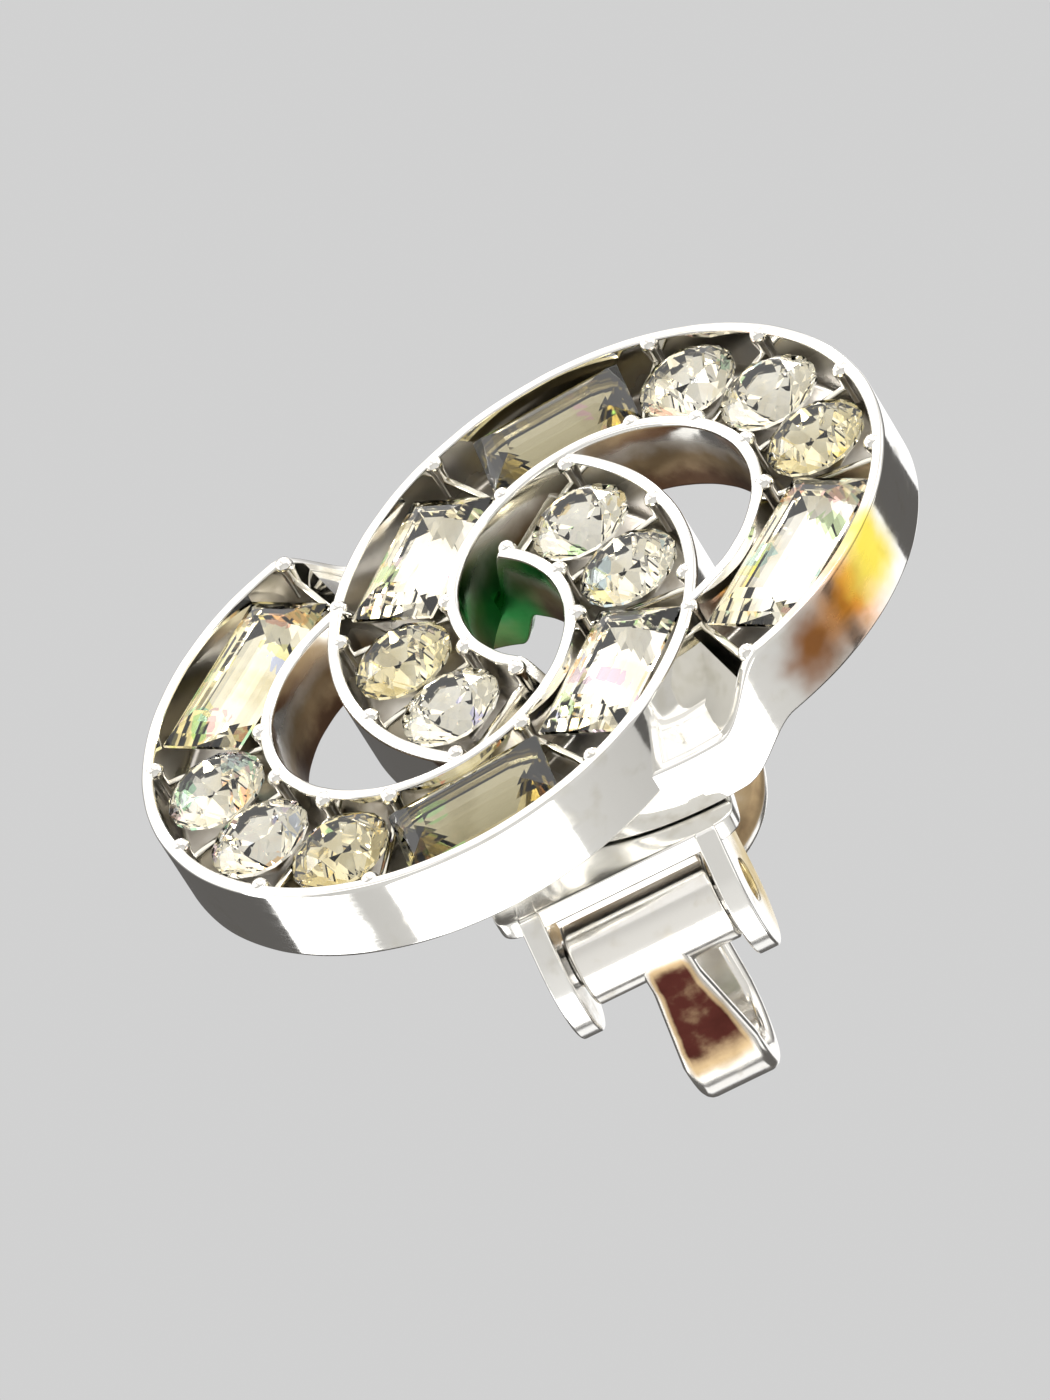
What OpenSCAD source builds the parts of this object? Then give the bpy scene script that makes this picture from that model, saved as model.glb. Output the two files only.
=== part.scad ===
// Clip-on rhinestone earring: two round channel-set bands that pass over and under each other.
// The face looks along -Y, +Z is up and X is the hinge line. The origin is in the middle of the jaw,
// between the back of the face and the pad. Depth is counted from the face towards the back.

/* [Bands] */
// Radius at the outside of a band
band_r = 10.4; // [10.3:0.1:10.6]
// Width of a band from rail to rail
band_w = 4.95; // [4.9:0.05:5.05]
// Height of a band's walls
wall_h = 3.0; // [2.9:0.1:3.2]
// Thickness of a rail
rail_t = 0.45; // [0.4:0.01:0.46]
// Distance between the centres of the two bands
band_gap = 7.72; // [7.5:0.1:7.9]
// Tilt of the line through the two centres, on the face
line_tilt = 5.7; // [0:0.1:12]
// Turn of the face against the hinge line
face_turn = 10; // [0:1:16]
// Depth of the top of the channel floor
floor_top = 2.15; // [2.12:0.01:2.2]
// Thickness of the channel floor
floor_t = 0.6; // [0.5:0.05:0.7]
// Depth of the rail tops where a band passes under the other
under_top = 2.2; // [2.2:0.05:2.4]
// Depth of the back where a band passes under the other
under_back = 4.4; // [4.3:0.05:4.6]

/* [Stones] */
// Height that the tables stand proud of the rails
table_proud = 0.15; // [0.05:0.05:0.25]
// Depth of the upper edge of the girdles
girdle_top = 0.42; // [0.38:0.01:0.46]
// Height of a girdle
girdle_t = 0.12; // [0.1:0.01:0.15]
// Depth of the points and keels of the stones
keel = 2.1; // [2.0:0.01:2.1]
// Diameter of a round stone
chaton_d = 3.6; // [3.5:0.05:3.65]
// Width of an oblong stone
baguette_w = 3.3; // [3.2:0.05:3.3]
// How far an oblong stone's middle lies inside the channel's middle line
baguette_in = 0.275; // [0.265:0.005:0.285]

/* [Clip] */
// Depth of the hinge pin behind the face
pin_depth = 7.4; // [7.3:0.1:7.6]
// Distance of the hinge pin below the middle of the face
pin_below = 9.9; // [9.7:0.1:10.1]
// Radius of the hinge pin
pin_r = 0.75; // [0.7:0.01:0.78]
// Running gap between the pin and the lever's knuckle
pin_gap = 0.05; // [0.03:0.01:0.08]
// Width over the two ears
ears_w = 7.4; // [7.3:0.1:7.8]
// Thickness of the bracket's plate and ears
sheet_t = 0.8; // [0.7:0.05:0.9]
// Width of the bracket's plate
plate_w = 9.0; // [8.6:0.1:9.4]
// Depth of the front of the pad behind the face
pad_depth = 10.4; // [10.2:0.1:10.8]
// Width of the pad
pad_w = 9.0; // [8:0.5:10]
// Height of the pad
pad_h = 11.0; // [10:0.5:11]
// Thickness of the pad and the neck
lever_t = 0.9; // [0.8:0.05:1.0]
// Width of the neck at its bend
neck_w = 2.8; // [2.6:0.1:3.0]
// Width of the neck where it leaves the knuckle
neck_root_w = 1.8; // [1.6:0.1:2.2]

/* [Hidden] */
$fn = 48;

metal = [0.86, 0.86, 0.84];
shade_metal = [0.62, 0.58, 0.54];
stone_clear = [0.95, 0.93, 0.85];

// Places
jaw_depth = 7.8;
face_up = -1.0;
band_in = band_r - band_w;
channel_out = band_r - rail_t;
channel_in = band_in + rail_t;
channel_mid = (channel_out + channel_in) / 2;
fit = 0.05;

// One band's stones: angle of the middle and length along the band, counted round the band's own centre
BAGUETTE_AT = 0;
BAGUETTE_L = 1;
baguettes = [[131.1, 6.8], [264.8, 5.65], [316.2, 5.65]];
chatons = [173.4, 200.6, 227.8, 354.2, 382];
// Cross bars, in the gaps between two stones
bars = [101.5, 160.3, 187, 214.2, 240.1, 290.5, 341.2, 368.1, 396.2];

// Stretch where a band passes under the other: the angles where it starts and ends to dip
dip_from = 36;
dip_full_from = 50;
dip_full_to = 88;
dip_to = 103;
// The channel is filled to just under the rails where it dips, between these angles
fill_from = 39;
fill_to = 100;
fill_top = 0.35;
// Stretch of the other crossing, where the band lies on top
over_from = 272;
over_to = 336;
band_steps = 96;

function smooth(t) = let (c = min(1, max(0, t))) c * c * (3 - 2 * c);
function channel_floor(a) = a > fill_from && a < fill_to ? fill_top : floor_top;
function dip(a) = smooth((a - dip_from) / (dip_full_from - dip_from))
    * smooth((dip_to - a) / (dip_to - dip_full_to));
// Depth of a point of the section where the band dips by the share s
function dipped(depth, s) =
    depth * (wall_h + (under_back - under_top - wall_h) * s) / wall_h + under_top * s;

// A ring of points of radius r and height z: n of them, the first at the angle a0
function ring(n, r, z, a0 = 0) = [for (i = [0:n - 1])
    [r * cos(a0 + i * 360 / n), r * sin(a0 + i * 360 / n), z]];
// A rectangle of points, long side along X
function box_ring(l, w, z) = [[-l / 2, -w / 2, z], [l / 2, -w / 2, z], [l / 2, w / 2, z], [-l / 2, w / 2, z]];

// Points of an arc round c of radius r, from the angle a to the angle b in n steps
function arc(c, r, a, b, n) = [for (i = [0:n]) let (t = a + (b - a) * i / n) c + r * [cos(t), sin(t)]];

// Faces between two closed rows of n points that start at a and b, seen from outside with b above a
function wall_faces(n, a, b) = [for (i = [0:n - 1])
    [a + i, b + i, b + (i + 1) % n, a + (i + 1) % n]];

// Puts what is drawn on the face, in its own plane with +Z out of the face, at its place in the part
module on_face() {
    translate([0, -jaw_depth, face_up])
        rotate([90, 0, 0])
            rotate([0, 0, face_turn])
                children();
}

// Puts what is drawn round a band's centre on that band; the second is the first turned half round
module on_band(second = false) {
    rotate([0, 0, second ? 180 : 0])
        translate([-band_gap / 2 * cos(line_tilt), -band_gap / 2 * sin(line_tilt), 0])
            children();
}

// Draws across X what is drawn in the plane of depth and height, with the hinge pin at its origin
module across(width) {
    translate([-width / 2, pin_depth - jaw_depth, face_up - pin_below])
        rotate([90, 0, 90])
            linear_extrude(width)
                children();
}

// A band: the channel's section, carried round and pressed back where it dips
module band() {
    edge = 0.12;
    section = [
        [band_r, edge], [band_r, wall_h], [channel_out, wall_h], [channel_out, floor_top + floor_t],
        [channel_in, floor_top + floor_t], [channel_in, wall_h], [band_in, wall_h], [band_in, edge],
        [band_in + edge, 0], [channel_in, 0], [channel_in, floor_top], [channel_out, floor_top],
        [channel_out, 0], [band_r - edge, 0]
    ];
    n = len(section);
    step = 360 / band_steps;
    points = [for (i = [0:band_steps - 1], p = section)
        let (a = i * step, depth = p[1] == floor_top ? channel_floor(a) : p[1])
        [p[0] * cos(a), p[0] * sin(a), -dipped(depth, dip(a))]];
    faces = [for (i = [0:band_steps - 1], j = [0:n - 1])
        let (k = (i + 1) % band_steps, m = (j + 1) % n)
        [i * n + j, k * n + j, k * n + m, i * n + m]];
    polyhedron(points, faces, convexity = 6);
}

// The space for stones in the stretch where a band lies on top
module over_space() {
    rotate([0, 0, over_from])
        translate([0, 0, -floor_top])
            rotate_extrude(angle = over_to - over_from, $fn = 96)
                translate([channel_in, 0])
                    square([channel_out - channel_in, floor_top + 1]);
}

// Cross bars and grip beads in the gaps between the stones
module bars_and_beads() {
    bar_t = 0.3;
    bar_top = 0.75;
    bead_r = 0.34;
    for (a = bars)
        rotate([0, 0, a]) {
            translate([channel_in - 0.2, -bar_t / 2, -floor_top - 0.1])
                cube([channel_out - channel_in + 0.4, bar_t, floor_top - bar_top]);
            for (r = [channel_in + 0.02, channel_out - 0.02])
                translate([r, 0, -0.22])
                    hull() {
                        sphere(r = bead_r, $fn = 8);
                        translate([0, 0, -1.2])
                            cylinder(r = bead_r * 0.7, h = 0.2, $fn = 8);
                    }
        }
}

// Posts cast on the back, through the bracket and the leaf, with their ends peened over
post_x = 1.75;
post_below = 7.0;
post_r = 0.8;
boss_r = 1.1;
head_r = 1.05;
head_h = 0.4;
leaf_t = 0.25;
plate_front = under_back + fit;
plate_back = plate_front + sheet_t;
leaf_front = plate_back + 0.03;
leaf_back = leaf_front + leaf_t;

module rivet_post() {
    root = floor_top + floor_t / 2;
    translate([0, root - jaw_depth, 0])
        rotate([-90, 0, 0]) {
            cylinder(r = boss_r, h = under_back - root, $fn = 20);
            cylinder(r = post_r, h = leaf_back + head_h - root, $fn = 20);
            translate([0, 0, leaf_back + 0.03 - root])
                cylinder(r1 = head_r, r2 = head_r * 0.75, h = head_h, $fn = 20);
        }
}

module setting() {
    color(metal) {
        on_face() {
            difference() {
                on_band() band();
                on_band(true) over_space();
            }
            difference() {
                on_band(true) band();
                on_band() over_space();
            }
            on_band() bars_and_beads();
            on_band(true) bars_and_beads();
        }
        for (x = [-post_x, post_x])
            translate([x, 0, face_up - post_below])
                rivet_post();
    }
}

// A round stone: table, star, bezel and upper girdle facets above, long mains and halves below.
// The flat kites set the heights of the points between the facets.
module round_stone() {
    r = chaton_d / 2;
    table_r = r * 0.56;
    crown_r = r * 0.80;
    lower_r = r * 0.45;
    half = 22.5;
    top = table_proud;
    crown_z = top - (crown_r * cos(half) - table_r) * (top + girdle_top) / (r - table_r);
    low_g = -girdle_top - girdle_t;
    lower_z = low_g - (r - lower_r * cos(half)) * (keel + low_g) / r;
    points = concat(
        ring(8, table_r, top), ring(8, crown_r, crown_z, half), ring(16, r, -girdle_top),
        ring(16, r, low_g), ring(8, lower_r, lower_z, half), [[0, 0, -keel]]
    );
    table = 0;
    crown = 8;
    upper = 16;
    lower = 32;
    mains = 48;
    tip = 56;
    faces = concat(
        [[for (i = [7:-1:0]) table + i]],
        [for (i = [0:7]) [table + i, table + (i + 1) % 8, crown + i]],
        [for (i = [0:7]) [table + i, crown + i, upper + 2 * i, crown + (i + 7) % 8]],
        [for (i = [0:7]) [crown + i, upper + 2 * i + 1, upper + 2 * i]],
        [for (i = [0:7]) [crown + i, upper + (2 * i + 2) % 16, upper + 2 * i + 1]],
        wall_faces(16, lower, upper),
        [for (i = [0:7]) [mains + i, lower + 2 * i, lower + 2 * i + 1]],
        [for (i = [0:7]) [mains + i, lower + 2 * i + 1, lower + (2 * i + 2) % 16]],
        [for (i = [0:7]) [tip, mains + (i + 7) % 8, lower + 2 * i, mains + i]]
    );
    polyhedron(points, faces, convexity = 2);
}

// An oblong step-cut stone: table, three rows of steps above, girdle, three rows and a keel below
module oblong_stone(l) {
    w = baguette_w;
    rows = [
        box_ring(l - 2.3, w - 2.1, table_proud),
        box_ring(l - 1.5, w - 1.35, table_proud - 0.12),
        box_ring(l - 0.7, w - 0.6, -girdle_top * 0.4),
        box_ring(l, w, -girdle_top),
        box_ring(l, w, -girdle_top - girdle_t),
        box_ring(l - 0.7, w - 0.65, -girdle_top - girdle_t - 0.43),
        box_ring(l - 1.5, w - 1.4, -girdle_top - girdle_t - 0.86)
    ];
    last = len(rows) - 1;
    points = concat([for (row = rows, p = row) p], [[-l / 2 + 1.9, 0, -keel], [l / 2 - 1.9, 0, -keel]]);
    b = last * 4;
    left = b + 4;
    right = b + 5;
    faces = concat(
        [[3, 2, 1, 0]],
        [for (k = [0:last - 1], f = wall_faces(4, 4 * k + 4, 4 * k)) f],
        [[b, b + 1, right, left], [b + 2, b + 3, left, right], [b + 1, b + 2, right], [b + 3, b, left]]
    );
    polyhedron(points, faces, convexity = 2);
}

// The stones are numbered along the first band and then along the second
module baguette(i) {
    row = baguettes[(i - 1) % 3];
    color(stone_clear)
        on_face()
            on_band(i > 3)
                rotate([0, 0, row[BAGUETTE_AT]])
                    translate([channel_mid - baguette_in, 0, 0])
                        rotate([0, 0, 90])
                            oblong_stone(row[BAGUETTE_L]);
}

module chaton(i) {
    color(stone_clear)
        on_face()
            on_band(i > 5)
                rotate([0, 0, chatons[(i - 1) % 5]])
                    translate([channel_mid, 0, 0])
                        round_stone();
}

// The bracket: a plate with round corners on the back, and two ears that carry the pin
ear_r = 2.4;
plate_top = 4.6;
plate_low = 0.4;
plate_r = 1.0;

module plate_outline() {
    x = plate_w / 2 - plate_r;
    y = (plate_top + plate_low) / 2 - plate_r;
    polygon(concat(
        arc([x, y], plate_r, 0, 90, 5), arc([-x, y], plate_r, 90, 180, 5),
        arc([-x, -y], plate_r, 180, 270, 5), arc([x, -y], plate_r, 270, 360, 5)
    ));
}

// The point where a line from q touches the circle of radius r round the origin, on the side given
function touch(q, r, side) = let (a = atan2(q[1], q[0]), b = acos(r / norm(q)))
    r * [cos(a + side * b), sin(a + side * b)];

module ear_outline() {
    root_top = [plate_front - pin_depth, plate_top];
    root_low = [plate_front - pin_depth, -plate_low];
    polygon([root_top, root_low, touch(root_low, ear_r, 1), [0, 0], touch(root_top, ear_r, -1)]);
    circle(r = ear_r);
}

module clip_bracket() {
    color(metal)
        difference() {
            union() {
                translate([0, plate_front - jaw_depth, face_up - pin_below + (plate_top - plate_low) / 2])
                    rotate([-90, 0, 0])
                        linear_extrude(sheet_t)
                            plate_outline();
                for (x = [-1, 1])
                    translate([x * (ears_w - sheet_t) / 2, 0, 0])
                        across(sheet_t)
                            ear_outline();
            }
            across(ears_w + 2)
                circle(r = pin_r + 0.02);
            for (x = [-post_x, post_x])
                translate([x, plate_front - jaw_depth - 1, face_up - post_below])
                    rotate([-90, 0, 0])
                        cylinder(r = post_r + 0.06, h = sheet_t + 2);
        }
}

// The pin is as long as the bracket is wide, less a little at each end
module hinge_pin() {
    color(shade_metal)
        across(ears_w - 0.5)
            circle(r = pin_r);
}

// The leaf lies flat on the plate, and its free end reaches down in front of the knuckle
module clip_spring() {
    leaf_w = 5.2;
    leaf_top = 4.2;
    leaf_low = 0.3;
    color(shade_metal)
        difference() {
            across(leaf_w)
                translate([leaf_front - pin_depth, -leaf_low])
                    square([leaf_t, leaf_top + leaf_low]);
            for (x = [-post_x, post_x])
                translate([x, leaf_front - jaw_depth - 1, face_up - post_below])
                    rotate([-90, 0, 0])
                        cylinder(r = post_r + 0.06, h = leaf_t + 2);
        }
}

// The lever, in the plane of depth and height with the pin at its origin: a knuckle, a swan neck that
// swings out under the lobe, and a pad that stands upright behind it
knuckle_r = 1.6;
knuckle_w = 5.4;
neck_low = -(knuckle_r - lever_t / 2);
bend_r = 2.45;
bend_at = [5.0, neck_low + bend_r];
bend_to = 56;
back_r = 2.0;
pad_line = pad_depth + lever_t / 2 - pin_depth;

// The neck's middle line: out from the knuckle, round the bend, straight up and round to the pad
function neck_line() = let (
    turn = arc(bend_at, bend_r, -90, bend_to, 14),
    leave = turn[len(turn) - 1],
    start_x = pad_line + back_r * (1 - sin(bend_to)),
    rise = (leave[0] - start_x) / tan(bend_to),
    start = [start_x, leave[1] + rise]
) concat(
    [[0, neck_low]], turn,
    arc([pad_line + back_r, start[1] + back_r * sin(90 - bend_to)], back_r, 180 + 90 - bend_to, 180, 6)
);

// The strip of thickness t along a line of points
function normal_at(line, i) = let (
    a = line[max(0, i - 1)],
    b = line[min(len(line) - 1, i + 1)],
    d = (b - a) / norm(b - a)
) [-d[1], d[0]];
function strip(line, t) = let (last = len(line) - 1) concat(
    [for (i = [0:last]) line[i] + normal_at(line, i) * t / 2],
    [for (i = [last:-1:0]) line[i] - normal_at(line, i) * t / 2]
);

// Outline of the pad: an oval with fuller shoulders
function oval(w, h, n) = [for (i = [0:n - 1]) let (t = i * 360 / n, c = cos(t), s = sin(t))
    [w / 2 * sign(c) * pow(abs(c), 0.85), h / 2 * sign(s) * pow(abs(s), 0.85)]];

// The neck seen from above, out from the pin: narrow at the knuckle and wider at the bend
module neck_taper() {
    wide = neck_w / 2;
    root = neck_root_w / 2;
    reach = bend_at[0] + bend_r + lever_t;
    translate([0, pin_depth - jaw_depth, face_up - pin_below - 5])
        linear_extrude(15)
            polygon([
                [-root, 0], [root, 0], [root, knuckle_r], [wide, bend_at[0]],
                [wide, reach], [-wide, reach], [-wide, bend_at[0]], [-root, knuckle_r]
            ]);
}

module clip_lever() {
    line = neck_line();
    pad_foot = line[len(line) - 1][1];
    pad_overlap = 0.9;
    pad_up = face_up - pin_below + pad_foot - pad_overlap + pad_h / 2;
    color(metal)
        difference() {
            union() {
                across(knuckle_w)
                    circle(r = knuckle_r);
                intersection() {
                    across(neck_w)
                        polygon(strip(line, lever_t));
                    neck_taper();
                }
                translate([0, pad_depth - jaw_depth, pad_up])
                    rotate([90, 0, 0])
                        mirror([0, 0, 1])
                            linear_extrude(lever_t)
                                polygon(oval(pad_w, pad_h, 48));
            }
            across(knuckle_w + 2)
                circle(r = pin_r + pin_gap);
        }
}

setting();
clip_bracket();
hinge_pin();
clip_spring();
clip_lever();
baguette(1);  // baguette_1
baguette(2);  // baguette_2
baguette(3);  // baguette_3
baguette(4);  // baguette_4
baguette(5);  // baguette_5
baguette(6);  // baguette_6
chaton(1);  // chaton_01
chaton(2);  // chaton_02
chaton(3);  // chaton_03
chaton(4);  // chaton_04
chaton(5);  // chaton_05
chaton(6);  // chaton_06
chaton(7);  // chaton_07
chaton(8);  // chaton_08
chaton(9);  // chaton_09
chaton(10);  // chaton_10
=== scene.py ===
"""Looks of a clip-on rhinestone earring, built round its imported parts. Lengths are in metres."""

import bmesh
import bpy
import numpy as np
from mathutils import Matrix, Vector


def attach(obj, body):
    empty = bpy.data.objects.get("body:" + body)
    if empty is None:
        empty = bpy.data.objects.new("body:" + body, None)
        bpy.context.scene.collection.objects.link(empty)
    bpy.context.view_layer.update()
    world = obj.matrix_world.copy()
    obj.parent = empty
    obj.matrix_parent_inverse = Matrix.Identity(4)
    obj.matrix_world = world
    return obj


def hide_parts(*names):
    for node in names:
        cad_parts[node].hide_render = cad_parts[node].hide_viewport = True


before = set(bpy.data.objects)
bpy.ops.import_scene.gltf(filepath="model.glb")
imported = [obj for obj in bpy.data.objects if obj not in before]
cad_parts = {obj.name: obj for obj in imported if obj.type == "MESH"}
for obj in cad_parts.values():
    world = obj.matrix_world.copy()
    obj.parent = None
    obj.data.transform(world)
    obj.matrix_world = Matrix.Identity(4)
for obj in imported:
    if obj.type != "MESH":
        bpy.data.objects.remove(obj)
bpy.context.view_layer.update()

# Camera. The photograph looks up at the face from below and from its left, from far away.
# U runs along the face to the right, W runs down the face, and FRONT is the way the face looks.
MM = 0.001
JAW_DEPTH = 7.8 * MM
FACE_UP = -1.0 * MM
FACE_TURN = np.radians(10)
PHOTO_W = 1050
PHOTO_PIXEL = 0.31 * MM
ENLARGED = 9.2
ROLL = np.radians(32)
LOOK_IN = 0.58
CAMERA_AWAY = 0.45
SENSOR = 36
AIM_RIGHT = 0.52 * MM
AIM_DOWN = 3.22 * MM
U = np.array([np.cos(FACE_TURN), 0, np.sin(FACE_TURN)])
W = np.array([np.sin(FACE_TURN), 0, -np.cos(FACE_TURN)])
FRONT = np.array([0, -1, 0])
across_view = LOOK_IN * W - np.sqrt(1 - LOOK_IN**2) * FRONT
view_right = np.cos(ROLL) * U + np.sin(ROLL) * across_view
view_up = np.sin(ROLL) * U - np.cos(ROLL) * across_view
view_back = np.cross(view_right, view_up)
face_middle = np.array([0, -JAW_DEPTH, FACE_UP])
target = face_middle + AIM_RIGHT * view_right - AIM_DOWN * view_up

camera_data = bpy.data.cameras.new("camera")
camera_data.sensor_fit = "HORIZONTAL"
camera_data.sensor_width = SENSOR
camera_data.lens = SENSOR * CAMERA_AWAY / (PHOTO_W / ENLARGED * PHOTO_PIXEL)
camera_data.clip_start = 0.01
camera = bpy.data.objects.new("camera", camera_data)
camera.matrix_world = Matrix.Translation(Vector(target + CAMERA_AWAY * view_back)) @ Matrix(
    np.stack([view_right, view_up, view_back], axis=1).tolist()
).to_4x4()
bpy.context.scene.collection.objects.link(camera)
bpy.context.scene.camera = camera

# The two bands. Each is a cast channel of white metal, polished and plated, and runs in a circle.
# A third of the way round it dips and passes under the other band, and the castings are soldered there.
BAND_R = 10.4 * MM
BAND_W = 4.95 * MM
WALL_H = 3.0 * MM
RAIL_T = 0.45 * MM
FLOOR_TOP = 2.15 * MM
FLOOR_T = 0.6 * MM
UNDER_TOP = 2.2 * MM
UNDER_BACK = 4.4 * MM
CENTRES_APART = 7.72 * MM
LINE_TILT = np.radians(5.7)
CHANNEL_OUT = BAND_R - RAIL_T
CHANNEL_IN = BAND_R - BAND_W + RAIL_T
EDGES = np.array([0.15, 0.12, 0.08, 0.1, 0.1, 0.08, 0.12, 0.15, 0.1, 0.25, 0.25, 0.1]) * MM
DIP = np.radians([36, 50, 88, 103])
FILL = np.radians([37.5, 41.25, 97.5, 101.25])
FILL_TOP = 0.35 * MM
WOBBLE = 0.012 * MM
# Painted shade in the channel and on the inner wall, and the rim by the face that it leaves bright.
CHANNEL_SHADE = 0.25
INNER_WALL_SHADE = 1.1
UNSHADED_RIM = 0.4 * MM
ROUND_STEPS = 384
SLACK = 0.01 * MM
MERGE = 1e-7
SHARP = np.radians(40)


class Tone:
    """A socket of a material. Operators add Math nodes to its tree, and node() adds any other node."""

    def __init__(self, tree, socket):
        self.tree = tree
        self.socket = socket

    def node(self, kind, inputs, out=0, **settings):
        """Adds a node of that kind, sets it up, fills or links its inputs and returns one output."""
        made = self.tree.nodes.new(kind)
        stops = settings.pop("stops", None)
        for key, value in settings.items():
            setattr(made, key, value)
        if stops:
            marks = made.color_ramp.elements
            while len(marks) < len(stops):
                marks.new(0.5)
            for mark, (position, colour) in zip(marks, stops):
                mark.position = position
                mark.color = (*colour, 1)
        for key, value in inputs.items():
            if isinstance(value, Tone):
                self.tree.links.new(value.socket, made.inputs[key])
            elif value is not None:
                made.inputs[key].default_value = value
        return Tone(self.tree, made.outputs[out])

    def maths(self, operation, other=None, turned=False):
        pair = [other, self] if turned else [self, other]
        return self.node("ShaderNodeMath", {0: pair[0], 1: pair[1]}, operation=operation)

    def __add__(self, other):
        return self.maths("ADD", other)

    def __sub__(self, other):
        return self.maths("SUBTRACT", other)

    def __rsub__(self, other):
        return self.maths("SUBTRACT", other, turned=True)

    def __mul__(self, other):
        return self.maths("MULTIPLY", other)

    def __gt__(self, other):
        return self.maths("GREATER_THAN", other)

    __radd__ = __add__
    __rmul__ = __mul__

    def spread(self, low, high):
        """0 below low and 1 above high, with a smooth rise between."""
        limits = {0: self, 1: low, 2: high, 3: 0.0, 4: 1.0}
        return self.node("ShaderNodeMapRange", limits, interpolation_type="SMOOTHSTEP")

    def blend(self, first, second):
        """A colour that is first where this is 0 and second where this is 1."""
        return self.node("ShaderNodeMix", {0: self, 6: first, 7: second}, out=2, data_type="RGBA")


def material(name):
    """An empty node material, as (material, its place on the object as a Tone, its surface socket)."""
    made = bpy.data.materials.new(name)
    made.use_nodes = True
    tree = made.node_tree
    tree.nodes.clear()
    output = tree.nodes.new("ShaderNodeOutputMaterial")
    here = tree.nodes.new("ShaderNodeTexCoord")
    return made, Tone(tree, here.outputs["Object"]), output.inputs["Surface"]


def plating(name, tint, shade, roughness, grime_and_shade=None, painted_reflections=()):
    """Bright white plating: a mirror with polishing waves, fine scratches and thin, yellower spots. Where the
    point attribute rises, it dulls to the first and then the second colour given: on the bands this is
    painted shade, on the lever real wear. The painted reflections are soft tints laid on the colour in place
    of coloured light that the metal mirrors, each with a middle, a radius and a colour."""
    made, place, surface = material(name)
    waves = place.node("ShaderNodeTexNoise", {"Vector": place, "Scale": 420, "Detail": 2})
    grain = place.node("ShaderNodeMapping", {"Vector": place, "Scale": (2600, 9000, 700)})
    scratches = place.node("ShaderNodeTexNoise", {"Vector": grain, "Scale": 1, "Detail": 4})
    stains = place.node("ShaderNodeTexNoise", {"Vector": place, "Scale": 900, "Detail": 5})
    stained = stains.spread(0.52, 0.72)
    colour = (stained * 0.5).blend((*tint, 1), (*shade, 1))
    rough = scratches * 0.10 + stained * 0.08 + (roughness - 0.05)
    # Painted shade on the bands and real wear on the lever, both from the point attribute.
    if grime_and_shade:
        depth = place.node("ShaderNodeAttribute", {}, out="Fac", attribute_name="grime_and_shade")
        dirt_and_shade = depth * (stains * 0.9 + 0.55)
        colour = dirt_and_shade.spread(0.05, 0.5).blend(colour, (*grime_and_shade[0], 1))
        colour = dirt_and_shade.spread(0.45, 0.85).blend(colour, (*grime_and_shade[1], 1))
        rough = rough + dirt_and_shade.spread(0.02, 0.35) * 0.36
    # Painted reflections: each tint is laid on the colour in a soft round patch.
    if painted_reflections:
        drift = place.node("ShaderNodeTexNoise", {"Vector": place, "Scale": 700, "Detail": 2}, out="Color")
        moved = place.node(
            "ShaderNodeVectorMath", {0: drift, 1: (0.0016,) * 3, 2: place}, operation="MULTIPLY_ADD"
        )
    for middle, radius, reflection_colour in painted_reflections:
        centre = tuple(m * MM + 0.0008 for m in middle)
        away = moved.node("ShaderNodeVectorMath", {0: moved, 1: centre}, out="Value", operation="DISTANCE")
        near = 1 - away.spread(radius * 0.2 * MM, radius * MM)
        colour = near.blend(colour, (*reflection_colour, 1))
        rough = rough + near * 0.14
    rolled = place.node("ShaderNodeBump", {"Height": waves, "Strength": 0.22, "Distance": 0.00006})
    scratched = place.node(
        "ShaderNodeBump", {"Height": scratches, "Strength": 0.12, "Distance": 0.000004, "Normal": rolled}
    )
    shine = place.node(
        "ShaderNodeBsdfPrincipled",
        {"Base Color": colour, "Metallic": 1.0, "Roughness": rough, "Normal": scratched},
    )
    place.tree.links.new(shine.socket, surface)
    return made


def patch(points, around=True, along=True):
    """Quads through an n by m grid of points; around and along say whether rows and columns close."""
    n, m = points.shape[:2]
    i = np.arange(n if around else n - 1)
    j = np.arange(m if along else m - 1)
    i, j = np.meshgrid(i, j, indexing="ij")
    i_next = (i + 1) % n
    j_next = (j + 1) % m
    quads = np.stack([i * m + j, i_next * m + j, i_next * m + j_next, i * m + j_next], axis=-1)
    return points.reshape(-1, 3), quads.reshape(-1, 4)


def solid(name, patches, finish, body, stands_for, grime_and_shade=None):
    """One mesh of all the patches, with seams and poles merged and faces turned outwards."""
    starts = np.cumsum([0] + [len(points) for points, _ in patches])
    points = np.concatenate([points for points, _ in patches])
    quads = np.concatenate([quads + start for (_, quads), start in zip(patches, starts)])
    mesh = bpy.data.meshes.new(name)
    mesh.vertices.add(len(points))
    mesh.vertices.foreach_set("co", points.ravel())
    mesh.loops.add(quads.size)
    mesh.loops.foreach_set("vertex_index", quads.ravel())
    mesh.polygons.add(len(quads))
    mesh.polygons.foreach_set("loop_start", np.arange(0, quads.size, 4))
    mesh.update(calc_edges=True)
    if grime_and_shade is not None:
        mesh.attributes.new("grime_and_shade", "FLOAT", "POINT").data.foreach_set("value", grime_and_shade.ravel())
    work = bmesh.new()
    work.from_mesh(mesh)
    bmesh.ops.remove_doubles(work, verts=work.verts, dist=MERGE)
    bmesh.ops.recalc_face_normals(work, faces=work.faces)
    work.to_mesh(mesh)
    work.free()
    mesh.polygons.foreach_set("use_smooth", np.ones(len(mesh.polygons), dtype=bool))
    mesh.set_sharp_from_angle(angle=SHARP)
    mesh.materials.append(finish)
    made = bpy.data.objects.new(name, mesh)
    bpy.context.scene.collection.objects.link(made)
    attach(made, body)
    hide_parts(stands_for)
    return made


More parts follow.
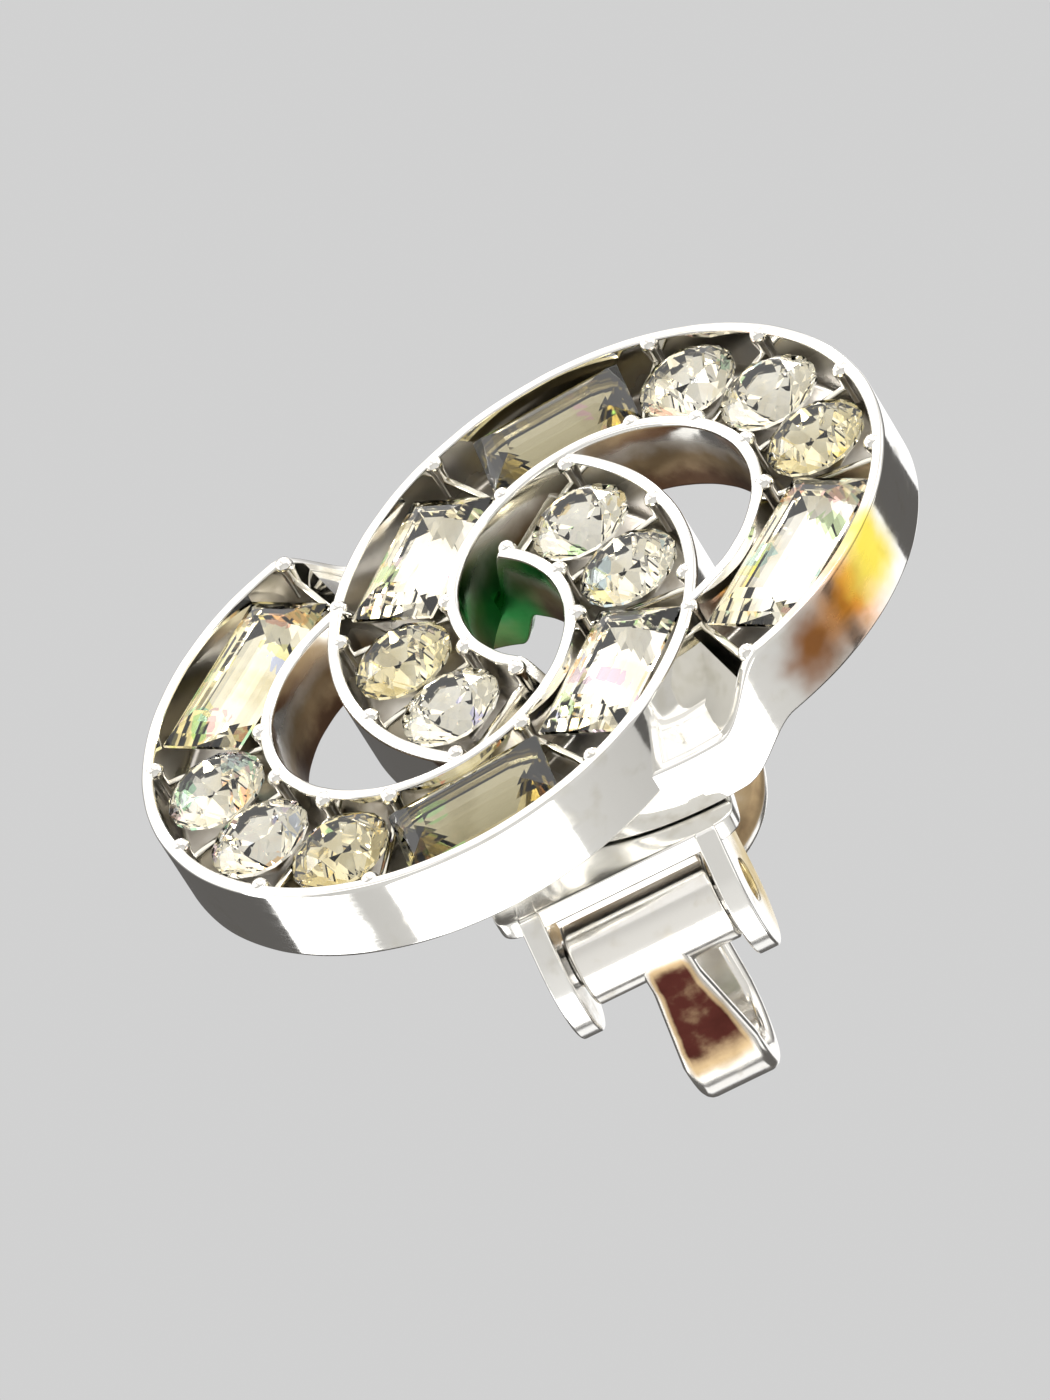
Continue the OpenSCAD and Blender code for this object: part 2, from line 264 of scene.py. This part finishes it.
def rounded(corners, radii, steps=5):
    """A closed outline whose corners are arcs: each arc touches both sides, and a point just past
    each end of it keeps the flat between two arcs flat when the surface is smoothed."""
    corners = np.array(corners, dtype=float)
    radii = np.array(radii, dtype=float)
    back = np.roll(corners, 1, axis=0) - corners
    ahead = np.roll(corners, -1, axis=0) - corners
    back /= np.linalg.norm(back, axis=1, keepdims=True)
    ahead /= np.linalg.norm(ahead, axis=1, keepdims=True)
    half = np.arccos(np.clip((back * ahead).sum(axis=1), -1, 1)) / 2
    middle = back + ahead
    middle *= (radii / np.sin(half) / np.linalg.norm(middle, axis=1))[:, None]
    centres = corners + middle
    reach = (radii / np.tan(half))[:, None]
    start = corners + back * reach - centres
    end = corners + ahead * reach - centres
    share = np.linspace(0, 1, steps)[None, :, None]
    turn = (np.pi - 2 * half)[:, None, None]
    arcs = (np.sin((1 - share) * turn) * start[:, None] + np.sin(share * turn) * end[:, None]) / np.sin(turn)
    arcs += centres[:, None]
    spare = 0.2 * radii[:, None, None]
    before = arcs[:, :1] + back[:, None] * spare
    after = arcs[:, -1:] + ahead[:, None] * spare
    return np.concatenate([before, arcs, after], axis=1).reshape(-1, 2)


def ramp(x):
    """x held between 0 and 1."""
    return np.clip(x, 0, 1)


def smooth_step(x):
    """x held between 0 and 1, with a slow start and a slow end."""
    x = ramp(x)
    return x * x * (3 - 2 * x)


def plateau(x, stops, ease):
    """0 outside the first and last of four stops, 1 between the middle two, and eased between."""
    rise = ease((x - stops[0]) / (stops[1] - stops[0]))
    return rise * ease((stops[3] - x) / (stops[3] - stops[2]))


def on_face(x, y, depth, second):
    """Points round a band's centre, put on the face of the part. The second band is the first
    turned half round the middle of the face."""
    x = x - CENTRES_APART / 2 * np.cos(LINE_TILT)
    y = y - CENTRES_APART / 2 * np.sin(LINE_TILT)
    turn = FACE_TURN + (np.pi if second else 0)
    right = x * np.cos(turn) - y * np.sin(turn)
    up = x * np.sin(turn) + y * np.cos(turn)
    return np.stack([right, depth - JAW_DEPTH, up + FACE_UP], axis=-1)


def band(second):
    """The channel's section, (radius, depth) with a radius for each of its edges, carried round a circle.
    Depth runs from the face to the back. Where the band dips, top and back move to the depths of the lower
    crossing: under = top + depth * (back - top) / wall height. A little wobble of the walls, and of their
    height towards the face, is what hand polishing leaves. Painted shade darkens the channel the deeper it
    goes, except where it is filled, and the inner wall away from the face."""
    section = rounded(
        [
            (BAND_R, 0), (BAND_R, WALL_H), (CHANNEL_OUT, WALL_H), (CHANNEL_OUT, FLOOR_TOP + FLOOR_T),
            (CHANNEL_IN, FLOOR_TOP + FLOOR_T), (CHANNEL_IN, WALL_H), (BAND_R - BAND_W, WALL_H),
            (BAND_R - BAND_W, 0), (CHANNEL_IN, 0), (CHANNEL_IN, FLOOR_TOP), (CHANNEL_OUT, FLOOR_TOP),
            (CHANNEL_OUT, 0),
        ],
        EDGES,
    )
    angle = np.linspace(0, 2 * np.pi, ROUND_STEPS, endpoint=False)[:, None]
    r = section[None, :, 0]
    depth = section[None, :, 1]
    inside = (r > CHANNEL_IN - SLACK) & (r < CHANNEL_OUT + SLACK) & (depth <= FLOOR_TOP)
    filled = plateau(angle, FILL, ramp)
    depth = depth * (1 - inside * filled * (1 - FILL_TOP / FLOOR_TOP))
    sink = plateau(angle, DIP, smooth_step)
    under = depth * (UNDER_BACK - UNDER_TOP) / WALL_H + UNDER_TOP
    wobble = WOBBLE * np.sin(7 * angle + 1) * np.sin(11 * angle)
    rim = np.clip((r - (CHANNEL_IN + CHANNEL_OUT) / 2) / BAND_W * 2, -1, 1)
    lowered = depth + (under - depth) * sink + wobble.clip(0, None) * (1 - depth / WALL_H)
    radius = r - rim * np.abs(wobble)
    # Painted shade: deeper in the open channel, and down the inner wall below a bright rim.
    grime_and_shade = inside * ramp(depth / FLOOR_TOP) * (1 - filled) * CHANNEL_SHADE
    inner_wall = r < BAND_R - BAND_W + 2 * SLACK
    grime_and_shade = grime_and_shade + inner_wall * ((depth - UNSHADED_RIM) / WALL_H).clip(0, 0.85) * INNER_WALL_SHADE
    points = on_face(radius * np.cos(angle), radius * np.sin(angle), lowered, second)
    return patch(points), np.broadcast_to(grime_and_shade, points.shape[:2])


plated = plating(
    "white_plating", (0.93, 0.92, 0.89), (0.76, 0.73, 0.64), 0.07,
    # The two dull colours are painted shade in the channel and on the inner wall.
    grime_and_shade=[(0.30, 0.22, 0.13), (0.09, 0.05, 0.03)],
    # Painted reflections: a green one near the middle of the face, and brown, orange and yellow fire on the
    # outer wall at the lower right.
    painted_reflections=[
        ((-0.7, -5.1, 2.6), 2.8, (0.024, 0.19, 0.045)),
        ((9.6, -6.2, -9.0), 2.2, (0.36, 0.15, 0.05)),
        ((11.2, -6.5, -7.5), 2.2, (0.95, 0.38, 0.05)),
        ((12.2, -6.9, -6.1), 2.1, (0.96, 0.78, 0.10)),
    ],
)
bands = [band(False), band(True)]
solid(
    "bands", [mesh for mesh, _ in bands], plated, "earring", "setting",
    grime_and_shade=np.stack([shade for _, shade in bands]),
)

# Cross bars and grip beads. Low bars part the stones in the channel, and beside each one a small bead
# is raised on either rail and pressed over the corners of its stones.
BAR_ANGLES = np.radians([101.5, 160.3, 187, 214.2, 240.1, 290.5, 341.2, 368.1, 396.2])
BAR_T = 0.3 * MM
BAR_TOP = 0.75 * MM
BAR_SUNK = 0.2 * MM
BEAD_R = 0.34 * MM
BEAD_DEPTH = 0.22 * MM
BEAD_FOOT_R = 0.7 * BEAD_R
BEAD_FOOT = 1.3 * MM
BEAD_IN = 0.02 * MM


def eased(x, power):
    """x raised to a power, with its sign kept."""
    return np.sign(x) * np.abs(x) ** power


def pillow(size, corner=0.3, edge=0.3, rings=14, sides=28):
    """A box with soft edges round the origin: a sphere whose sines and cosines are raised to small
    powers, one for the corners seen along the third side and one for the edges round it."""
    lift = np.linspace(-np.pi / 2, np.pi / 2, rings)[:, None]
    turn = np.linspace(0, 2 * np.pi, sides, endpoint=False)[None, :] + 0.1
    level = eased(np.cos(lift), edge)
    x = level * eased(np.cos(turn), corner)
    y = level * eased(np.sin(turn), corner)
    z = eased(np.sin(lift), edge) + 0 * turn
    return np.stack([x, y, z], axis=-1) * np.array(size) / 2


def lathe(profile, sides=24):
    """A profile of (radius, height) points turned about the height, as an n by m grid."""
    turn = np.linspace(0, 2 * np.pi, sides, endpoint=False)[None, :]
    radius = np.array(profile)[:, :1]
    height = np.array(profile)[:, 1:]
    return np.stack([radius * np.cos(turn), radius * np.sin(turn), height + 0 * turn], axis=-1)


def dome(r, foot_r, foot, steps=6):
    """The profile of a round head of radius r over a thinner foot."""
    a = np.linspace(np.pi / 2, -np.pi / 6, steps)
    head = np.stack([r * np.cos(a), r * np.sin(a)], axis=1)
    return np.concatenate([head, [[foot_r, -foot * 0.5], [foot_r, -foot], [0, -foot]]])


bar_patches = []
bead_patches = []
for second in (False, True):
    for angle in BAR_ANGLES:
        bar = pillow((CHANNEL_OUT - CHANNEL_IN + 2 * BAR_SUNK, BAR_T, FLOOR_TOP - BAR_TOP + BAR_SUNK))
        r = (CHANNEL_IN + CHANNEL_OUT) / 2 + bar[..., 0]
        side = bar[..., 1]
        depth = (FLOOR_TOP + BAR_TOP + BAR_SUNK) / 2 - bar[..., 2]
        x = r * np.cos(angle) - side * np.sin(angle)
        y = r * np.sin(angle) + side * np.cos(angle)
        bar_patches.append(patch(on_face(x, y, depth, second), around=False))
        for rail in (CHANNEL_IN + BEAD_IN, CHANNEL_OUT - BEAD_IN):
            bead = lathe(dome(BEAD_R, BEAD_FOOT_R, BEAD_FOOT))
            x = rail * np.cos(angle) + bead[..., 0]
            y = rail * np.sin(angle) + bead[..., 1]
            bead_patches.append(patch(on_face(x, y, BEAD_DEPTH - bead[..., 2], second), around=False))

# The bars' plating is painted darker than the bands', as shade down between the stones.
bar_metal_shaded = plating("bar_plating_shaded", (0.74, 0.71, 0.62), (0.40, 0.36, 0.25), 0.14)
bead_metal = plating("bead_plating", (0.93, 0.91, 0.87), (0.74, 0.70, 0.60), 0.08)
solid("cross_bars", bar_patches, bar_metal_shaded, "earring", "setting")
solid("grip_beads", bead_patches, bead_metal, "earring", "setting")

# Posts on the back. Two round posts, cast with the bands, pass through the bracket and the leaf, and
# their ends are peened over into low heads.
POST_X = 1.75 * MM
POST_BELOW = 7.0 * MM
POST_ROOT = 2.45 * MM
BOSS_R = 1.1 * MM
POST_R = 0.8 * MM
BOSS_EDGE = 0.05 * MM
HEAD_R = 1.05 * MM
HEAD = [(1, 0), (1, 0.1), (0.93, 0.24), (0.75, 0.34), (0.45, 0.4), (0, 0.4)]
PLATE_FRONT = UNDER_BACK + 0.05 * MM
SHEET_T = 0.8 * MM
LEAF_T = 0.25 * MM
LEAF_GAP = 0.03 * MM

head_foot = PLATE_FRONT + SHEET_T + LEAF_GAP + LEAF_T + LEAF_GAP
post_profile = np.concatenate([
    [(0, POST_ROOT), (BOSS_R, POST_ROOT), (BOSS_R, UNDER_BACK - BOSS_EDGE), (BOSS_R - BOSS_EDGE, UNDER_BACK)],
    [(POST_R, UNDER_BACK), (POST_R, head_foot)],
    np.array(HEAD) * (HEAD_R, MM) + (0, head_foot),
])
post_patches = []
for side in (-1, 1):
    post = lathe(post_profile, sides=40)
    x = side * POST_X + post[..., 0]
    height = FACE_UP - POST_BELOW + post[..., 1]
    post_patches.append(patch(np.stack([x, post[..., 2] - JAW_DEPTH, height], axis=-1), around=False))
solid("rivet_posts", post_patches, bead_metal, "earring", "setting")

# Stones. Cut clear glass with silver foil and brown lacquer on the back, set face up in the channel.
# The glass bends the light, and the foil behind the girdle throws it back; a little fire is painted on the
# foil as coloured patches.
GIRDLE_LOW = 0.54 * MM


def rhinestone(name, foil, lacquer, painted_fire):
    """Glass in front of the girdle and foil behind it. Patches of the foil are painted in the colours that
    cut glass splits white light into, as painted fire, and in patches the foil has darkened with age."""
    made, place, surface = material(name)
    split = place.node("ShaderNodeSeparateXYZ", {"Vector": place}, out="Y")
    behind = split > GIRDLE_LOW - JAW_DEPTH + SLACK
    cells = place.node("ShaderNodeTexVoronoi", {"Vector": place, "Scale": 1700, "Randomness": 1}, out="Color")
    hue = cells.node("ShaderNodeSeparateColor", {"Color": cells}, out="Red")
    chance = cells.node("ShaderNodeSeparateColor", {"Color": cells}, out="Green")
    fire_colours = hue.node(
        "ShaderNodeValToRGB",
        {"Fac": hue},
        stops=[(0.0, (0.95, 0.42, 0.08)), (0.25, (0.98, 0.86, 0.25)), (0.5, (0.12, 0.62, 0.25)),
               (0.75, (0.42, 0.46, 0.95)), (0.95, (0.75, 0.25, 0.16))],
    )
    tarnish = place.node("ShaderNodeTexNoise", {"Vector": place, "Scale": 520, "Detail": 3})
    aged = tarnish.spread(0.42, 0.68)
    base = (aged * 0.7).blend((*foil, 1), (*lacquer, 1))
    # Painted fire: a share of the cells takes the colours of split light.
    base = ((chance > 1 - painted_fire) * 0.6).blend(base, fire_colours)
    mirror = place.node("ShaderNodeBsdfPrincipled", {"Base Color": base, "Metallic": 1.0, "Roughness": 0.03})
    scuffs = place.node("ShaderNodeTexNoise", {"Vector": place, "Scale": 2400, "Detail": 4})
    glass = place.node(
        "ShaderNodeBsdfPrincipled",
        {"Base Color": (1.0, 0.992, 0.965, 1), "Roughness": scuffs.spread(0.6, 0.8) * 0.05,
         "Transmission Weight": 1.0, "IOR": 1.58},
    )
    stone = place.node("ShaderNodeMixShader", {0: behind, 1: glass, 2: mirror})
    place.tree.links.new(stone.socket, surface)
    return made


# The last number of each is the share of the foil painted with fire.
clear = rhinestone("clear_stone", (0.99, 0.97, 0.89), (0.84, 0.76, 0.54), 0.10)
warm = rhinestone("warm_stone", (0.95, 0.90, 0.70), (0.64, 0.55, 0.30), 0.08)
dark = rhinestone("dark_stone", (0.62, 0.56, 0.36), (0.34, 0.29, 0.14), 0.04)
OBLONG_STONES = [warm, dark, clear, clear, dark, clear]
ROUND_STONES = [clear, clear, warm, clear, clear, warm, clear, clear, warm, clear]
for number, glass in enumerate(OBLONG_STONES, 1):
    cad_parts[f"baguette_{number}"].material_slots[0].material = glass
for number, glass in enumerate(ROUND_STONES, 1):
    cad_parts[f"chaton_{number:02d}"].material_slots[0].material = glass

# Bracket. A small casting of white metal: a flat plate under the heads of the posts, with two ears that
# are drilled for the pin. Its rims are rounded by tumbling, and it is plated like the bands.
EARS_W = 7.4 * MM
PLATE_W = 9.0 * MM
PIN_DEPTH = 7.4 * MM
PIN_BELOW = 9.9 * MM
PIN_R = 0.75 * MM
EAR_R = 2.4 * MM
PLATE_TOP = 4.6 * MM
PLATE_LOW = 0.4 * MM
RIM = 0.14 * MM
RIM_SHARE = 0.12
HOLE_GAP = 0.02 * MM


def across(x, depth, height):
    """Points in the plane of depth and height round the pin, set at x along the hinge line."""
    return np.stack([x + 0 * depth, depth + PIN_DEPTH - JAW_DEPTH, height + FACE_UP - PIN_BELOW], axis=-1)


def touch(q, r, side):
    """The angle at which a line from q touches the circle of radius r round the origin."""
    return np.arctan2(q[1], q[0]) + side * np.arccos(r / np.hypot(*q))


def ear_reach(angle):
    """How far an ear reaches from the pin in each direction: a circle, and straight sides to the plate."""
    root = PLATE_FRONT - PIN_DEPTH
    top = touch((root, PLATE_TOP), EAR_R, -1)
    low = touch((root, -PLATE_LOW), EAR_R, 1)
    reach = np.full(angle.shape, np.inf)
    for edge, distance in ((top, EAR_R), (low, EAR_R), (np.pi, -root)):
        cosine = np.cos(angle - edge)
        line = np.where(cosine > 1e-6, distance / np.maximum(cosine, 1e-6), np.inf)
        reach = np.minimum(reach, line)
    return np.where((angle > low) & (angle < top), EAR_R, reach)


def ear(side):
    """A drilled ear: its section, a bar with round rims that runs from the hole to the outline, is
    carried round the pin. The bar is stretched between its rims, so that they stay round."""
    angle = np.linspace(-np.pi, np.pi, 180, endpoint=False)
    reach = ear_reach(angle)
    hole = PIN_R + HOLE_GAP
    rim = rounded([(0, 0), (1, 0), (1, 1), (0, 1)], [RIM_SHARE] * 4, steps=5)
    span = RIM / RIM_SHARE
    u = rim[None, :, 0]
    r = np.where(u < 0.5, hole + u * span, reach[:, None] - (1 - u) * span)
    x = side * (EARS_W / 2 - rim[None, :, 1] * SHEET_T)
    return patch(across(x + 0 * r, r * np.cos(angle)[:, None], r * np.sin(angle)[:, None]))


plate = pillow((PLATE_W, PLATE_TOP + PLATE_LOW, SHEET_T), corner=0.24, edge=0.14, rings=30, sides=96)
plate = across(plate[..., 0], plate[..., 2] + PLATE_FRONT + SHEET_T / 2 - PIN_DEPTH,
               plate[..., 1] + (PLATE_TOP - PLATE_LOW) / 2)
bracket_metal = plating(
    "bracket_plating", (0.95, 0.94, 0.91), (0.72, 0.68, 0.58), 0.18,
    # Painted warm reflections on the right ear, gold and a duller brown.
    painted_reflections=[((3.9, 0.4, -9.2), 2.9, (0.82, 0.62, 0.22)), ((3.9, -1.8, -7.6), 1.8, (0.40, 0.30, 0.15))],
)
solid(
    "bracket", [patch(plate, around=False), ear(-1), ear(1)], bracket_metal, "earring", "clip_bracket",
)

# Leaf spring. A flat leaf of rolled steel, held under the heads of the posts. Its free end reaches down
# in front of the knuckle and presses on it.
LEAF_EDGE = 0.05 * MM

steel = plating("pin_steel", (0.62, 0.60, 0.57), (0.34, 0.31, 0.27), 0.2)
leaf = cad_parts["clip_spring"]
leaf.material_slots[0].material = steel
soft_edges = leaf.modifiers.new("soft_edges", "BEVEL")
soft_edges.width = LEAF_EDGE
soft_edges.segments = 2
soft_edges.limit_method = "ANGLE"
soft_edges.angle_limit = SHARP

# Lever. One strip of spring brass: rolled round the pin into a knuckle, bent out and up in a swan neck,
# and stamped into an oval pad that lies behind the lobe. It moves on the pin.
KNUCKLE_R = 1.6 * MM
KNUCKLE_W = 5.4 * MM
LEVER_T = 0.9 * MM
NECK_W = 2.8 * MM
NECK_ROOT_W = 1.8 * MM
BEND_R = 2.45 * MM
BEND_X = 5.0 * MM
BEND_TO = np.radians(56)
BACK_R = 2.0 * MM
PAD_DEPTH = 10.4 * MM
PAD_W = 9.0 * MM
PAD_H = 11.0 * MM
PAD_OVERLAP = 0.9 * MM
PIN_GAP = 0.05 * MM
EDGE_R = 0.36 * MM
OVAL_POWER = 0.85
DISH = 0.12 * MM
WORN = np.array([0, 1.1, 3.8, 6.4]) * MM
WORN_UP = 0.6 * BEND_R
NECK_GRIME = 0.84
PAD_GRIME = 0.5

neck_low = -(KNUCKLE_R - LEVER_T / 2)
pad_line = PAD_DEPTH + LEVER_T / 2 - PIN_DEPTH
turn = np.linspace(-np.pi / 2, BEND_TO, 48)
bend = np.stack([BEND_X + BEND_R * np.cos(turn), neck_low + BEND_R + BEND_R * np.sin(turn)], axis=1)
start_x = pad_line + BACK_R * (1 - np.sin(BEND_TO))
start_y = bend[-1, 1] + (bend[-1, 0] - start_x) / np.tan(BEND_TO)
turn = np.linspace(3 * np.pi / 2 - BEND_TO, np.pi, 24)
back = np.stack([np.cos(turn), np.sin(turn)], axis=1) * BACK_R
back += np.array([pad_line + BACK_R, start_y + BACK_R * np.cos(BEND_TO)])
foot = np.stack([np.linspace(0, BEND_X, 24)[:-1], np.full(23, neck_low)], axis=1)
pad_foot = back[-1, 1]
pad_middle = pad_foot - PAD_OVERLAP + PAD_H / 2


def neck():
    """The strip's section, an oblong with round edges, carried along the line of the neck. Grime marks
    the outer face of the foot, where the plating has worn brown."""
    line = np.concatenate([foot, bend, back])
    ahead = np.gradient(line, axis=0)
    ahead /= np.linalg.norm(ahead, axis=1, keepdims=True)
    half_w = NECK_ROOT_W / 2
    half_t = LEVER_T / 2
    section = rounded(
        [(-half_w, -half_t), (half_w, -half_t), (half_w, half_t), (-half_w, half_t)], [EDGE_R] * 4
    )
    across_line = section[None, :, 1]
    depth = line[:, :1] - ahead[:, 1:] * across_line
    height = line[:, 1:] + ahead[:, :1] * across_line
    wider = (NECK_W - NECK_ROOT_W) / 2 * ramp((depth - KNUCKLE_R) / (BEND_X - KNUCKLE_R))
    side = section[None, :, 0]
    grid = across(side + np.sign(side) * wider, depth, height)
    outer = ramp(-across_line / half_t) * ramp((half_w - np.abs(side)) / EDGE_R)
    below = height < neck_low + WORN_UP
    grime_and_shade = outer * below * plateau(depth, WORN, smooth_step) * NECK_GRIME
    middle = grid.mean(axis=1, keepdims=True) + 0 * grid
    closed = np.concatenate([middle[:1], grid, middle[-1:]])
    grime_and_shade = np.concatenate([grime_and_shade[:1], grime_and_shade, grime_and_shade[-1:]])
    return patch(closed, around=False), grime_and_shade


def pad():
    """An oval disc with round edges and a slightly dished front, as rings of one oval from the middle
    of the front to the middle of the back. Of the section, in mm, only the two outer corners are kept,
    nine points each, and flat faces lead to them. The front has worn brown towards its rim."""
    turn = np.linspace(0, 2 * np.pi, 96, endpoint=False)[None, :]
    soft_x = eased(np.cos(turn), OVAL_POWER)
    soft_y = eased(np.sin(turn), OVAL_POWER)
    thick = LEVER_T / MM
    rim = rounded([(0, 0), (1, 0), (1, thick), (0, thick)], [0.01, 0.3, 0.3, 0.01], steps=7)
    rim = np.concatenate([[(0, 0), (0.5, 0)], rim[9:-9], [(0.5, thick), (0, thick)]])
    flat = rim[:, :1] <= 0.5
    share = np.where(flat, rim[:, :1], 1)
    inset = np.where(flat, 0.5, (1 - rim[:, :1]).clip(0, None)) * MM
    x = share * (PAD_W / 2 - inset) * soft_x
    height = share * (PAD_H / 2 - inset) * soft_y + pad_middle
    dish = DISH * (1 - share**2) * (rim[:, 1:] < 0.1)
    depth = rim[:, 1:] * MM + PAD_DEPTH - PIN_DEPTH + dish + 0 * turn
    grid = across(x, depth, height)
    worn = PAD_GRIME * share**2 * (rim[:, 1:] < 0.6 * thick)
    return patch(grid, around=False), np.broadcast_to(worn, grid.shape[:2])


knuckle = rounded(
    [
        (PIN_R + PIN_GAP, -KNUCKLE_W / 2), (KNUCKLE_R, -KNUCKLE_W / 2),
        (KNUCKLE_R, KNUCKLE_W / 2), (PIN_R + PIN_GAP, KNUCKLE_W / 2),
    ],
    [0.06 * MM, 0.14 * MM, 0.14 * MM, 0.06 * MM],
)
knuckle = lathe(knuckle, sides=72)
lever_metal = plating(
    "lever_plating", (0.95, 0.93, 0.89), (0.74, 0.68, 0.56), 0.16,
    grime_and_shade=[(0.50, 0.37, 0.21), (0.06, 0.016, 0.012)],
)
lever_parts = [
    neck(), pad(),
    (patch(across(knuckle[..., 2], knuckle[..., 0], knuckle[..., 1])), np.zeros(knuckle.shape[:2])),
]
solid(
    "lever", [mesh for mesh, _ in lever_parts], lever_metal, "lever", "clip_lever",
    grime_and_shade=np.concatenate([shade.ravel() for _, shade in lever_parts]),
)

# Pin. Drawn steel wire, pushed through both ears and the knuckle. It is cut a little shorter than the
# bracket is wide, and a punch has left a shallow dimple in each end.
PIN_SHORT = 0.5 * MM
PIN_END = np.array([(0, 0.10), (0.30, 0.08), (0.52, 0.02), (0.66, 0), (0.73, 0.04), (0.75, 0.12)]) * MM

pin_half = (EARS_W - PIN_SHORT) / 2
near_end = PIN_END * (1, 1) + (0, -pin_half)
far_end = PIN_END[::-1] * (1, -1) + (0, pin_half)
pin_profile = np.concatenate([near_end, far_end])
pin = lathe(pin_profile, sides=48)
pin = patch(across(pin[..., 2], pin[..., 0], pin[..., 1]), around=False)
solid("pin", [pin], steel, "earring", "hinge_pin")

# Studio. A pale floor far below and soft boxes on all sides. The surround is bright in front of the
# face and dark behind it, broken up by soft screens, and the camera sees it as plain grey.
FLOOR_Z = -0.55
FLOOR_HALF = 1.5
FLOOR_TONES = [(0.72, 0.72, 0.71, 1), (0.698, 0.698, 0.689, 1)]

floor_paint, place, surface = material("floor")
mottle = place.node("ShaderNodeTexNoise", {"Vector": place, "Scale": 6, "Detail": 3})
paint = place.node("ShaderNodeBsdfPrincipled", {"Base Color": mottle.blend(*FLOOR_TONES), "Roughness": 0.8})
place.tree.links.new(paint.socket, surface)
floor_mesh = bpy.data.meshes.new("floor")
floor_corners = [(x * FLOOR_HALF, y * FLOOR_HALF, FLOOR_Z) for x, y in [(-1, -1), (1, -1), (1, 1), (-1, 1)]]
floor_mesh.from_pydata(floor_corners, [], [(0, 1, 2, 3)])
floor_mesh.materials.append(floor_paint)
floor_plane = bpy.data.objects.new("floor", floor_mesh)
bpy.context.scene.collection.objects.link(floor_plane)


def softbox(name, way, distance, size, power):
    """A square lamp in the direction given, turned to the earring."""
    lamp = bpy.data.lights.new(name, "AREA")
    lamp.shape = "SQUARE"
    lamp.size = size
    lamp.energy = power
    holder = bpy.data.objects.new(name, lamp)
    way = Vector(way).normalized()
    holder.location = way * distance
    holder.rotation_euler = way.to_track_quat("Z", "Y").to_euler()
    holder.visible_camera = False
    bpy.context.scene.collection.objects.link(holder)


softbox("over", (-0.65, -0.6, 0.55), 0.6, 0.3, 1.4)
softbox("left", (-0.9, 0.35, -0.2), 0.6, 0.35, 0.8)
softbox("right", (0.8, 0.57, 0.1), 0.7, 0.35, 0.4)
softbox("behind", (0.14, 0.58, 0.8), 0.7, 0.35, 0.4)
softbox("back", (-0.14, 0.98, 0.02), 0.7, 0.3, 0.26)
softbox("under", (-0.1, 0.55, -0.82), 0.35, 0.38, 0.85)
softbox("front", (0.35, -0.9, 0.2), 0.7, 0.12, 0.6)
softbox("high", (0.25, -0.35, 0.9), 0.7, 0.12, 0.6)

world = bpy.data.worlds.new("studio")
world.use_nodes = True
sky = world.node_tree
sky.nodes.clear()
sky_out = sky.nodes.new("ShaderNodeOutputWorld")
direction = Tone(sky, sky.nodes.new("ShaderNodeTexCoord").outputs["Generated"])
ahead = direction.node(
    "ShaderNodeVectorMath", {0: direction, 1: tuple(FRONT)}, out="Value", operation="DOT_PRODUCT"
)
screens = direction.node("ShaderNodeTexNoise", {"Vector": direction, "Scale": 2.4, "Detail": 0})
bright = ahead.spread(-0.5, 0.3) * (screens.spread(0.38, 0.54) * 0.4 + 0.6)
glow = bright.blend((0.12, 0.115, 0.11, 1), (1.5, 1.48, 1.45, 1))
seen = direction.node("ShaderNodeLightPath", {}, out="Is Camera Ray")
backdrop = seen.blend(glow, (0.64, 0.64, 0.64, 1))
light = backdrop.node("ShaderNodeBackground", {"Color": backdrop, "Strength": 1.0})
sky.links.new(light.socket, sky_out.inputs["Surface"])
bpy.context.scene.world = world
bpy.context.scene.view_settings.view_transform = "Standard"
